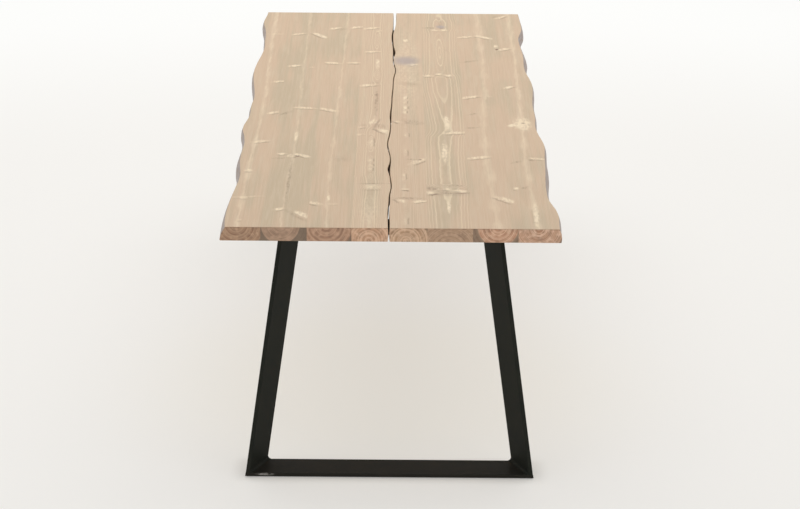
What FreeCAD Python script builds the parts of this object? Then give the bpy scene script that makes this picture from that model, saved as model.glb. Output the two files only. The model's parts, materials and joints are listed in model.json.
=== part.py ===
"""Plank table: two live-edge plank halves on two welded frames of flat bar.

X runs across the table, Y along its length and Z up. The origin is on the floor, under the
middle of the table. All sizes are in millimetres.
"""
import FreeCAD, Part
import math
import os

Vector = FreeCAD.Vector

# Sizes of the table top
table_length = 2400.0
table_height = 750.0
top_thickness = 38.0
mean_half_width = 432.0
edge_wave = 12.0
edge_lean = 14.0
edge_belly = 2.5
edge_ease = 2.0
end_ease = 1.5
slit_wander = 12.0
slit_gap = 10.0
slit_ease = 0.8

# Glue lines of each half: distances from the table's middle line, along the mean half width
left_glue_shares = (0.79, 0.51, 0.24)
right_glue_shares = (0.22, 0.495, 0.77)

# Live edges: place along the half length, swing of the edge, lean of the side face
left_edge_shares = (
    (-1.00, 0.25, 0.96), (-0.88, 0.57, 0.67), (-0.79, 0.20, 0.60), (-0.71, -0.33, 0.55),
    (-0.61, -0.83, 0.65), (-0.53, -0.33, 0.80), (-0.45, -0.08, 0.75), (-0.36, -0.33, 0.50),
    (-0.28, 0.15, 0.35), (-0.22, 0.75, 0.30), (-0.16, 0.30, 0.30), (-0.11, -0.25, 0.30),
    (-0.03, -0.17, 0.30), (0.06, -0.50, 0.30), (0.14, -0.17, 0.30), (0.24, 0.60, 0.30),
    (0.32, 0.90, 0.30), (0.40, 0.65, 0.30), (0.49, -0.10, 0.30), (0.58, -0.60, 0.30),
    (0.67, -0.35, 0.30), (0.76, -0.08, 0.35), (0.82, 0.50, 0.35), (0.88, 1.00, 0.30),
    (0.94, 0.65, 0.30), (1.00, 0.35, 0.30),
)
right_edge_shares = (
    (-1.00, 0.78, 0.35), (-0.94, 0.95, 0.35), (-0.89, 1.00, 0.35), (-0.84, 0.42, 0.40),
    (-0.79, -0.42, 0.45), (-0.73, -0.67, 0.50), (-0.66, -0.58, 0.60), (-0.58, -0.17, 0.75),
    (-0.52, 0.08, 0.70), (-0.43, 0.42, 0.40), (-0.35, 0.75, 0.30), (-0.28, 0.08, 0.30),
    (-0.20, -0.58, 0.30), (-0.10, -0.25, 0.30), (0.00, -0.33, 0.30), (0.11, 0.17, 0.25),
    (0.20, 0.50, 0.25), (0.27, 0.08, 0.30), (0.33, -0.50, 0.40), (0.42, -0.75, 0.65),
    (0.50, -0.50, 0.95), (0.57, -0.67, 0.90), (0.65, -1.00, 0.60), (0.72, -0.83, 0.50),
    (0.79, 0.17, 0.50), (0.88, 0.42, 0.40), (1.00, 0.17, 0.30),
)

# The slit: place along the half length, wander of its middle, width of the gap
slit_shares = (
    (-1.00, -0.52, 0.45), (-0.93, -0.58, 0.50), (-0.87, -0.65, 0.45), (-0.81, -0.50, 0.40),
    (-0.75, -0.42, 0.30), (-0.70, -0.10, 0.25), (-0.65, -0.21, 0.30), (-0.60, -0.46, 0.30),
    (-0.55, -0.67, 0.72), (-0.51, -0.42, 0.40), (-0.47, -0.36, 0.22), (-0.43, -0.58, 0.22),
    (-0.38, -0.96, 0.30), (-0.33, -1.05, 0.25), (-0.29, -0.79, 0.30), (-0.23, -0.48, 0.25),
    (-0.17, -0.40, 0.25), (-0.11, -0.46, 0.50), (-0.06, -0.40, 0.42), (0.00, -0.21, 0.30),
    (0.09, -0.12, 0.30), (0.17, 0.10, 0.25), (0.25, 0.19, 0.25), (0.30, 0.46, 0.28),
    (0.35, 0.75, 0.22), (0.39, 0.46, 0.30), (0.44, 0.12, 0.30), (0.49, 0.12, 0.42),
    (0.54, 0.33, 0.80), (0.60, 0.08, 0.42), (0.66, -0.12, 0.48), (0.71, -0.21, 0.50),
    (0.77, -0.08, 0.45), (0.82, 0.21, 0.70), (0.88, 0.37, 0.90), (0.94, 0.42, 1.00),
    (1.00, 0.42, 1.00),
)

# Sizes of the welded frames
bar_thickness = 10.0
bar_round = 1.2
frame_depth = 100.0
frame_setback = 95.0
foot_span = 786.0
head_span = 596.0
leg_turn_degrees = 24.5
weld_leg = 8.0
weld_hollow_share = 0.36

# The bar under the middle of the top
batten_length = 560.0
batten_depth = 60.0

# Hex screws with a flange, driven up into the boards through slots
screw_diameter = 8.0
screw_length = 36.0
flange_diameter = 18.0
flange_thickness = 2.0
head_height = 5.5
head_across_flats = 13.0
head_sides = 6
slot_play = 1.0
slot_travel = 8.0
frame_screw_shares = (0.33, 0.80)
batten_screw_shares = (0.29, 0.69)

# Pads under the foot bars
pad_length = 60.0
pad_thickness = 2.0
pad_border = 8.0

# Every cut runs past the material by this much
overrun = 5.0

# Levels and places that follow from the sizes
half_length = table_length / 2
top_underside = table_height - top_thickness
foot_top = pad_thickness + bar_thickness
head_level = top_underside - bar_thickness
frame_front = frame_setback - half_length
frame_back = frame_front + frame_depth
frame_middle = (frame_front + frame_back) / 2
leg_turn = math.radians(leg_turn_degrees)
leg_lean = (foot_span - head_span) / 2 / (head_level - foot_top)
leg_face_width = bar_thickness * math.hypot(1 / math.cos(leg_turn), leg_lean)
leg_run = frame_depth * math.tan(leg_turn) + leg_face_width
head_clear_half = head_span / 2 - leg_run
wide_half = mean_half_width + edge_wave + edge_lean + edge_belly + overrun


def box_between(low, high):
    """Box from its lowest corner to its highest."""
    size = high - low
    return Part.makeBox(size.x, size.y, size.z, low)


def wavy_line(places, level):
    """Smooth line through (step, x) places along the table, at one level."""
    run = half_length + overrun
    points = [Vector(x, step * run, level) for step, x in places]
    curve = Part.BSplineCurve()
    curve.interpolate(Points=points, Parameters=[step for step, _ in places])
    return curve.toShape()


def live_edge(side, edge_shares, level, lean_share, set_out):
    """Outer edge of one half at one level, leaning and set out as that level asks."""
    places = []
    for step, swing, lean in edge_shares:
        reach = mean_half_width + edge_wave * swing + edge_lean * lean * lean_share
        places.append((step, side * (reach + set_out)))
    return wavy_line(places, level)


def slit_edge(side, level, set_out):
    """Edge of one half along the slit at one level; set_out narrows the slit."""
    places = []
    for step, wander, gap in slit_shares:
        middle = slit_wander * wander
        places.append((step, middle + side * (slit_gap * gap / 2 - set_out)))
    return wavy_line(places, level)


def closed_section(first, second):
    """Closed wire of two long lines and the straight ends that join them."""
    first_start, first_end = (vertex.Point for vertex in first.Vertexes)
    second_start, second_end = (vertex.Point for vertex in second.Vertexes)
    near_end = Part.makeLine(second_start, first_start)
    far_end = Part.makeLine(first_end, second_end)
    return Part.Wire([first, far_end, second, near_end])


def plank_half(side, edge_shares):
    """One half of the top, from its live edge to the slit, eased along both."""
    middle_level = top_underside + top_thickness / 2
    levels = (
        (top_underside, 1, -edge_ease, -slit_ease),
        (top_underside + edge_ease, 1, 0, 0),
        (middle_level, 0.5, edge_belly, 0),
        (table_height - edge_ease, 0, 0, 0),
        (table_height, 0, -edge_ease, -slit_ease),
    )
    sections = []
    for level, lean_share, edge_out, slit_out in levels:
        outer = live_edge(side, edge_shares, level, lean_share, edge_out)
        inner = slit_edge(side, level, slit_out)
        sections.append(closed_section(outer, inner))
    return Part.makeLoft(sections, True, True)


def board_blank(low_x, high_x):
    """Straight board between two glue lines, eased along its end edges."""
    low = Vector(low_x, -half_length, top_underside)
    high = Vector(high_x, half_length, table_height)
    blank = box_between(low, high)
    end_edges = [
        edge for edge in blank.Edges
        if edge.BoundBox.XLength > overrun
    ]
    return blank.makeChamfer(end_ease, end_edges)


def make_boards(screws):
    """The eight boards, each cut from its half between its glue lines and round its screws."""
    left_lines = [-mean_half_width * share for share in left_glue_shares]
    right_lines = [mean_half_width * share for share in right_glue_shares]
    slit_reach = slit_wander + slit_gap
    left_names = ("left_edge_board", "left_board_2", "left_board_3", "left_slit_board")
    right_names = ("right_slit_board", "right_board_2", "right_board_3", "right_edge_board")
    halves = (
        (plank_half(-1, left_edge_shares), [-wide_half, *left_lines, slit_reach], left_names),
        (plank_half(1, right_edge_shares), [-slit_reach, *right_lines, wide_half], right_names),
    )
    boards = {}
    for half, lines, names in halves:
        for name, low_x, high_x in zip(names, lines, lines[1:]):
            boards[name] = half.common(board_blank(low_x, high_x)).cut(screws)
    return boards


def plan_line():
    """Direction of the left leg's faces in plan: back and towards the middle."""
    return Vector(math.sin(leg_turn), math.cos(leg_turn), 0)


def leg_directions():
    """Unit vectors of the left leg: across its width, out through its face, up its length."""
    up = Vector(leg_lean, 0, 1).normalize()
    out = up.cross(plan_line()).normalize()
    return out.cross(up), out, up


def leg_middle(level):
    """Middle of the left leg's section at one level."""
    drift = leg_lean * (level - foot_top)
    return Vector((leg_run - foot_span) / 2 + drift, frame_middle, level)


def leg_slab(thickness, outward):
    """Oversize plate on the slant of the left leg, moved outward through its face."""
    across, out, up = leg_directions()
    length = table_height + foot_span
    start = leg_middle(foot_top) - up * foot_span / 2
    corner = start - across * foot_span / 2 + out * (outward - thickness / 2)
    slab = Part.makeBox(foot_span, thickness, length)
    slab.Placement = FreeCAD.Placement(corner, FreeCAD.Rotation(across, out, up, "ZXY"))
    return slab


def frame_space(low_z, high_z):
    """Box over the left half of the near frame, between its front and back planes."""
    return box_between(Vector(-foot_span, frame_front, low_z), Vector(0, frame_back, high_z))


def left_leg():
    """Left leg: a plate flush with the frame's front and back, its long edges rounded."""
    leg = leg_slab(bar_thickness, 0).common(frame_space(foot_top, head_level))
    long_edges = [edge for edge in leg.Edges if edge.Length > head_level - foot_top]
    return leg.makeFillet(bar_round, long_edges)


def end_waste():
    """Both blocks outside the legs' outer faces, where foot bar and top plate are sawn off."""
    depth = foot_span / 2
    left = leg_slab(depth, (depth + bar_thickness) / 2)
    return [left, mirrored(left)]


def rounded_bar(length, depth, low):
    """Flat bar along X with its four long edges rounded."""
    bar = Part.makeBox(length, depth, bar_thickness, low)
    long_edges = [edge for edge in bar.Edges if edge.BoundBox.XLength > depth]
    return bar.makeFillet(bar_round, long_edges)


def level_bar(low_z):
    """Foot bar or top plate of the near frame, its ends sawn flush with the legs."""
    reach = foot_span / 2 + bar_thickness
    bar = rounded_bar(2 * reach, frame_depth, Vector(-reach, frame_front, low_z))
    return bar.cut(end_waste())


def mirrored(shape):
    """The same shape on the other side of the table's middle line."""
    return shape.mirror(Vector(0, 0, 0), Vector(1, 0, 0))


def turned(shape):
    """The same shape at the other end of the table, turned half round."""
    return shape.rotated(Vector(0, 0, 0), Vector(0, 0, 1), 180)


def slot_cut(x, y, low_z):
    """Slotted hole through a bar, long across the table, so that the wood can move."""
    radius = (screw_diameter + slot_play) / 2
    height = bar_thickness + 2 * overrun
    start = Vector(x - slot_travel / 2, y, low_z - overrun)
    end = start + Vector(slot_travel, 0, 0)
    middle = Part.makeBox(slot_travel, 2 * radius, height, start - Vector(0, radius, 0))
    ends = [Part.makeCylinder(radius, height, start), Part.makeCylinder(radius, height, end)]
    return middle.fuse(ends).removeSplitter()


def weld_bead(level, rising):
    """Hollow fillet bead in the inner corner between the left leg and a level bar."""
    line = plan_line()
    away = Vector(line.y, -line.x, 0)
    slope = line.cross(leg_directions()[1]).normalize() * rising
    root = leg_middle(level) + Vector(leg_face_width / 2, 0, 0) - line * frame_depth
    toe = root + away * weld_leg
    tip = root + slope * weld_leg
    hollow = root + (away + slope) * (weld_leg * weld_hollow_share)
    face = Part.Face(Part.Wire([
        Part.makeLine(root, toe),
        Part.Arc(toe, hollow, tip).toShape(),
        Part.makeLine(tip, root),
    ]))
    bead = face.extrude(line * (2 * frame_depth))
    return bead.common(frame_space(foot_top, head_level))


def screw(x, y):
    """Screw that holds the bar up on its flange: plain shank above, hex head below."""
    seat = Vector(x, y, head_level)
    flange_low = seat - Vector(0, 0, flange_thickness)
    shank = Part.makeCylinder(screw_diameter / 2, screw_length, seat)
    flange = Part.makeCylinder(flange_diameter / 2, flange_thickness, flange_low)
    return flange.fuse([shank, hex_head(flange_low)])


def hex_head(top):
    """Hexagonal head that hangs down from the middle of its top face."""
    radius = head_across_flats / 2 / math.cos(math.pi / head_sides)
    turns = [2 * math.pi * step / head_sides for step in range(head_sides + 1)]
    corners = [top + Vector(math.cos(turn), math.sin(turn), 0) * radius for turn in turns]
    return Part.Face(Part.makePolygon(corners)).extrude(Vector(0, 0, -head_height))


def screw_spots(half_run, run_shares, y):
    """Screw places on both sides of the middle line, on one line across the table."""
    reaches = [half_run * share for share in run_shares]
    return [(side * reach, y) for reach in reaches for side in (-1, 1)]


def floor_pads():
    """Pads under both ends of the near foot bar."""
    width = frame_depth - 2 * pad_border
    outer = foot_span / 2 - leg_run
    low = Vector(-outer, frame_front + pad_border, 0)
    pad = Part.makeBox(pad_length, width, pad_thickness, low)
    return Part.makeCompound([pad, mirrored(pad)])


def near_frame(spots):
    """Pieces of the welded frame at the near end."""
    leg = left_leg()
    plate = level_bar(head_level)
    beads = [weld_bead(foot_top, 1), weld_bead(head_level, -1)]
    return {
        "foot_bar": level_bar(pad_thickness),
        "left_leg": leg,
        "right_leg": mirrored(leg),
        "top_plate": plate.cut([slot_cut(x, y, head_level) for x, y in spots]),
        "frame_welds": Part.makeCompound(beads + [mirrored(bead) for bead in beads]),
        "floor_pads": floor_pads(),
    }


def centre_batten(spots):
    """Bar across the middle of the table that ties the two halves."""
    low = Vector(-batten_length / 2, -batten_depth / 2, head_level)
    bar = rounded_bar(batten_length, batten_depth, low)
    return bar.cut([slot_cut(x, y, head_level) for x, y in spots])


def build():
    """Every node of the table, by name."""
    near_spots = screw_spots(head_clear_half, frame_screw_shares, frame_middle)
    batten_spots = screw_spots(batten_length / 2, batten_screw_shares, 0)
    near_screws = [screw(x, y) for x, y in near_spots]
    far_screws = [turned(near_screw) for near_screw in near_screws]
    batten_screws = [screw(x, y) for x, y in batten_spots]
    nodes = make_boards(near_screws + far_screws + batten_screws)
    far_names = {"left_leg": "right_leg", "right_leg": "left_leg"}
    for name, shape in near_frame(near_spots).items():
        nodes["near_" + name] = shape
        nodes["far_" + far_names.get(name, name)] = turned(shape)
    nodes["centre_batten"] = centre_batten(batten_spots)
    nodes["near_frame_screws"] = Part.makeCompound(near_screws)
    nodes["far_frame_screws"] = Part.makeCompound(far_screws)
    nodes["centre_batten_screws"] = Part.makeCompound(batten_screws)
    return nodes


os.makedirs("parts", exist_ok=True)
for node_name, node_shape in build().items():
    node_shape.exportStep("parts/" + node_name + ".step")
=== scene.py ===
"""Looks of the plank table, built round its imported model.

X runs across the table, Y along its length and Z up, in metres. The eight boards are made anew
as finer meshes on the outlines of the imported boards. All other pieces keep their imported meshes
and get their finishes here.
"""

import json
import math
from collections import namedtuple

import bpy
import numpy as np
from mathutils import Matrix, Vector, noise


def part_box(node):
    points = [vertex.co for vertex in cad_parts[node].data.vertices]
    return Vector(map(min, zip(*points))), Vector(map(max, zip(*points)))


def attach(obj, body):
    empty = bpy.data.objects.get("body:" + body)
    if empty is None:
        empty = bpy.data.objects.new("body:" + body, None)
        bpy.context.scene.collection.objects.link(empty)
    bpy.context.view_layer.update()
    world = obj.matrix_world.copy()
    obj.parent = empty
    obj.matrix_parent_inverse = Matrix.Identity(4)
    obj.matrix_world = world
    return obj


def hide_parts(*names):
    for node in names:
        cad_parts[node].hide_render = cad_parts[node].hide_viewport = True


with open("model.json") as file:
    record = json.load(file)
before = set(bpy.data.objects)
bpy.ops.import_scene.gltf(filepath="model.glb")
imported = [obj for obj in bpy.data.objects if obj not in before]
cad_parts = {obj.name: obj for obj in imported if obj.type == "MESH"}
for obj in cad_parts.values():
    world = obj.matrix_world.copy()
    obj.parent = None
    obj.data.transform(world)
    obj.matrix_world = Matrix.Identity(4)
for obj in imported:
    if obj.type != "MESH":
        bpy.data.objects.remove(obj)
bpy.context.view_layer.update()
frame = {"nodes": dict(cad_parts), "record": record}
nodes = frame["nodes"]
# The ends, the underside and the top are at the same places on all boards
board_low, board_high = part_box("left_edge_board")

CENTIMETRE = 0.01

# Camera
CAMERA_PLACE = Vector((0.0063, -7.6443, 2.8641))
CAMERA_PITCH_DEGREES = 18.742
CAMERA_ROLL_DEGREES = 0.498
CAMERA_YAW_DEGREES = 0.154
CAMERA_LENS = 117.1
CAMERA_SENSOR = 36.0

# Lamps: name, width, height, power, place, and turn about X in degrees
LAMPS = (
    ("overhead", 6, 5, 85, (0, 1.6, 4.6), 0),
    ("behind", 8, 2.4, 26, (0, 6, 3.2), -67),
)
# How brightly the surroundings light the table; where they are seen they are white
WORLD_LIGHT = 0.72

# The floor, whose colour and glow change with the distance from one place under the table; its
# colour is painted light, warm bounce near that place and painted shade round the table
FLOOR_HALF = 30.0
FLOOR_MIDDLE = (0.0, -0.4, 0.0)
FLOOR_BOUNCE_RANGE = (0.3, 1.0)
FLOOR_SHADE_FADE_RANGE = (2.5, 5.2)
FLOOR_GLOW = 0.52
FLOOR_GLOW_RANGE = (5.0, 12.0)
FLOOR_ROUGHNESS = 0.9
# The glow right beside a foot bar, and how far from it the floor has its own glow again
FOOT_GLOW = 0.28
FOOT_GLOW_REACH = 0.05

# Meshes of the boards: how far apart points are along and across, how many rows of faces a side
# has, how far long edges and ends are rounded, and what share of that is off halfway round
STATION_STEP = 0.006
COLUMN_STEP = 0.005
SIDE_ROWS = 6
EDGE_EASE = 0.002
END_EASE = 0.0015
ROUND_SHARE = 1 - math.cos(math.pi / 4)
SHARP_ANGLE_DEGREES = 40.0
# Depth of the top's faint relief, and how often it swings to the metre across and along the table
TOP_RELIEF = 0.0002
TOP_WAVES = (40, 6)

# Edge of a packed board: how near to a level its points lie, how far apart, and how many at least
# if it is wavy
LEVEL_TOLERANCE = 0.00001
LEAST_STEP = 0.001
FEWEST_WAVY_POINTS = 5

# Which side of a board is a natural edge, and which a wall of the slit: left is -1, right is 1
NATURAL_SIDES = {"left_edge_board": -1, "right_edge_board": 1}
SLIT_SIDES = {"left_slit_board": 1, "right_slit_board": -1}

# Furrows in the natural edges, long fibres and short lumps: how deep they are, and how often they
# swing to the metre along the board and up its side
FIBRE_DEPTH = 0.0006
FIBRE_WAVES = (22, 320)
LUMP_DEPTH = 0.0007
LUMP_WAVES = (70, 70)
LUMP_SEED_STEP = 5
# How far the walls of the slit swell into it halfway down, and how far both bow aside there, by
# place along the table, so that little of the floor is seen through its straight stretches
SLIT_SWELL = 0.0009
SLIT_BOW = (
    (-0.85, 0.0), (-0.75, -0.0020), (-0.60, -0.0020), (-0.50, 0.0018), (-0.28, 0.0018),
    (-0.18, 0.0027), (-0.10, 0.0027), (0.0, 0.0018), (0.62, 0.0018), (0.74, -0.0020),
    (0.86, -0.0020), (0.95, 0.0),
)

# Noises by name: how often they swing to the metre in each of the three directions, how many
# finer layers they have, and how strong each is against the one before
NOISES = {
    "streaks": ((30, 1.2, 30), 3, 0.6),
    "patches": ((9, 2.2, 9), 2, 0.5),
    "fibres": ((900, 14, 900), 3, 0.6),
    "grain": ((240, 4, 240), 2, 0.5),
    "wash": ((70, 7, 70), 3, 0.5),
    "slow_rings": ((16, 2.5, 16), 1, 0.5),
    "fine_rings": ((120, 14, 120), 2, 0.5),
    "ring_swing": ((170, 1, 1), 1, 0.5),
    "pith_course": ((1, 21, 1), 2, 0.5),
    "streak_course": ((1, 24, 1), 2, 0.5),
    "streak_width": ((1, 6, 1), 2, 0.5),
    "streak_light": ((1, 9, 120), 3, 0.6),
    "mark_sway": ((70, 45, 70), 4, 0.6),
    "mark_breaks": ((150, 40, 150), 2, 0.5),
    "end_blotch": ((50, 50, 50), 3, 0.5),
    "end_gleam": ((75, 75, 75), 2, 0.5),
    "end_rags": ((60, 60, 1), 3, 0.5),
    "bark": ((120, 22, 260), 3, 0.5),
    "coat_peel": ((900, 900, 900), 2, 0.5),
    "coat_cloud": ((14, 14, 14), 2, 0.5),
    "coat_scratches": ((90, 400, 700), 3, 0.5),
    "zinc_spangle": ((260, 260, 260), 3, 0.5),
    "zinc_grain": ((2400, 2400, 2400), 1, 0.5),
    "pad_dust": ((120, 120, 120), 4, 0.5),
    "pad_grain": ((1500, 1500, 1500), 2, 0.5),
}
# Every noise swings about this value
NOISE_MIDDLE = 0.5

# How the tone of the wood adds up, from olive to warm
STREAKS_TO_TONE = 3.2
PATCHES_TO_TONE = 2.6
TONE_MIDDLE = 2.9
TONE_RANGE = (-0.1, 1.1)
# Over which range of its noise each shade in the wood sets in, and its greatest share
WASH_RANGE = (0.42, 0.80)
WASH_SHARE = 0.38
FIBRE_RANGE = (0.40, 0.85)
FIBRE_SHARE = 0.22
DARK_GRAIN_RANGE = (0.30, 0.50)
DARK_GRAIN_SHARE = 0.15
PALE_GRAIN_RANGE = (0.50, 0.70)
PALE_GRAIN_SHARE = 0.16

# Growth rings: how far they stray, where in each its line comes and goes, how weak the weakest
# line is, and over which range of its noise the wood swings from pale to dark
SLOW_RING_SWAY = 0.24 * CENTIMETRE
FINE_RING_SWAY = 0.10 * CENTIMETRE
LINE_COMES = (0.58, 0.88)
LINE_GOES = (0.9, 1.0)
WEAKEST_LINE = 0.25
SWING_RANGE = (0.36, 0.64)
RING_SEED_STEP = 17.3

# How far the pith strays to the sides and up and down, and the pale streak over it besides
PITH_SWAY = 0.004
PITH_BOB = 0.0012
STREAK_SWAY = 0.008
# How the streak's width and light follow their noises, and their least share of the greatest
STREAK_WIDTH_RANGE = (0.35, 0.68)
STREAK_LIGHT_RANGE = (0.32, 0.72)
STREAK_LEAST_SHARE = 0.3

# End grain: the shares of its blotches, gleams and ring lines, the grey outside of the log, and
# the ragged painted shade under the arris
BLOTCH_RANGE = (0.40, 0.70)
BLOTCH_SHARE = 0.45
GLEAM_RANGE = (0.45, 0.70)
GLEAM_SHARE = 0.60
GLEAM_SHIFT = (0.3, 0.0, 0.7)
END_RING_SHARE = 0.35
OUTSIDE_FADE = 0.5 * CENTIMETRE
OUTSIDE_SHARE = 0.7
ARRIS_RAGS = 0.8 * CENTIMETRE
ARRIS_SHADE_DEPTH = 0.35 * CENTIMETRE
ARRIS_SHADE_SHARE = 0.45

# Sides: how the bark's brown sets in, and how deep the painted light near the top of the slit's
# walls reaches
BARK_RANGE = (0.45, 0.70)
SLIT_BARK_RANGE = (0.40, 0.75)
SLIT_BARK_SHARE = 0.5
SLIT_LIT_DEPTHS = (1.1 * CENTIMETRE, 0.1 * CENTIMETRE)

# How steeply a face turns up, to an end or to a side before it counts as top, end or side
TOP_FACING = (0.5, 0.9)
END_FACING = (0.55, 0.85)
SIDE_FACING = (0.45, 0.85)

# Gloss and relief of the wood
WOOD_GLOSS_RANGE = (0.3, 0.8)
WOOD_ROUGHNESS = (0.48, 0.62)
WOOD_SPECULAR = 0.45
WOOD_RELIEF = 0.00025
FIBRE_RELIEF_SHARE = 0.6
LINE_RELIEF_SHARE = 0.4

# Powder coat, zinc and rubber: how their noises turn into colour and roughness, and their relief
CLOUD_RANGE = (0.3, 0.7)
COAT_ROUGHNESS = (0.42, 0.52)
COAT_RELIEF = 0.00006
COAT_SPECULAR = 0.02
ZINC_ROUGHNESS = (0.28, 0.45)
ZINC_RELIEF = 0.00003
DUST_RANGE = (0.5, 0.8)
DULL_RANGE = (0.4, 0.8)
RUBBER_ROUGHNESS = (0.8, 0.95)
RUBBER_RELIEF = 0.0001
# The scrape in the paint at the front of the near foot bar: its middle, its reach, how it fades
# over that reach, and how its scratches set in
SCRAPE_PLACE = (-0.339, -1.105, 0.009)
SCRAPE_REACH = (0.032, 0.006, 0.005)
SCRAPE_FADE = (0.2, 1.0)
SCRATCH_RANGE = (0.44, 0.56)

# Kinds of marks in the wood: how strong the fill is, pale above 0 and dark below, the dark rim,
# the push on the rings in whole rings, and the grey stain
Kind = namedtuple("Kind", "fill rim push grey")
MARK_KINDS = {
    "bar": Kind(0.80, 0.95, 0.5, 0),
    "faint": Kind(0.40, 0.45, 0.4, 0),
    "glow": Kind(0.90, 0, 0, 0),
    "veil": Kind(0.34, 0, 0, 0),
    "smear": Kind(-0.70, 0.25, 0.6, 0),
    "shade": Kind(-0.42, 0, 0.4, 0),
    "line": Kind(-0.75, 0, 0, 0),
    "eye": Kind(0.45, 0.60, 1.8, 0),
    "bead": Kind(0.38, 1.0, 0.8, 0),
    "loop": Kind(0.15, 0, 3.0, 0),
    "whorl": Kind(-0.25, 0.60, 4.0, 0),
    "hole": Kind(-2.2, 0, 0.3, 0),
    "violet": Kind(-0.10, 0.15, 0.4, 1.0),
}
# Shape of every mark, in its own half lengths and half widths: where the fill fades and how much
# slower it does across, where the rim lies below it and how wide and long it is, and how far the
# push goes
FILL_FADE = (0.3, 1.8)
FILL_ACROSS = 0.75
RIM_BELOW = 1.9
RIM_WIDTH = 1.1
RIM_FADE = (0.5, 1.5)
PUSH_FADE = (0.0, 2.0)
# How far the marks' outlines stray across and along the board
MARK_SWAY = (0.007, 0.024, 0.0)
# How much weaker and stronger the fill gets from spot to spot, and over which range of its noise
BREAK_RANGE = (0.34, 0.66)
BREAK_SHARES = (0.60, 1.40)
# The sums of fills, of darks and of stains at which the colour is wholly theirs
FULL_FILL = 1.2
FULL_DARK = 2.2
FULL_STAIN = 1.4
# A reach up and down that takes in everything, and a shift too small to be seen
BOUNDLESS = 1e6
NUDGE = (1e-7, 1e-7, 1e-7)
# The least rise that a curve is drawn with
LEAST_RISE = 1e-6

# What the wood of a board is like, in centimetres and degrees, field by field: the pith, through
# points with their place along the table, place across it and height above the top; the spacing
# of the rings round it and the strength of their pale lines; strength and half width of the pale
# streak over it; the tone from olive to warm; the end grain's ground, the colour of its lines, the
# strength of its arcs and the radius outside which it is grey; and the marks, with their kind,
# middle across and along, half length, half width and turn from the X axis.
Board = namedtuple(
    "Board", "pith spacing lines streak broad warmth end_base end_line arcs outer marks"
)

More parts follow.
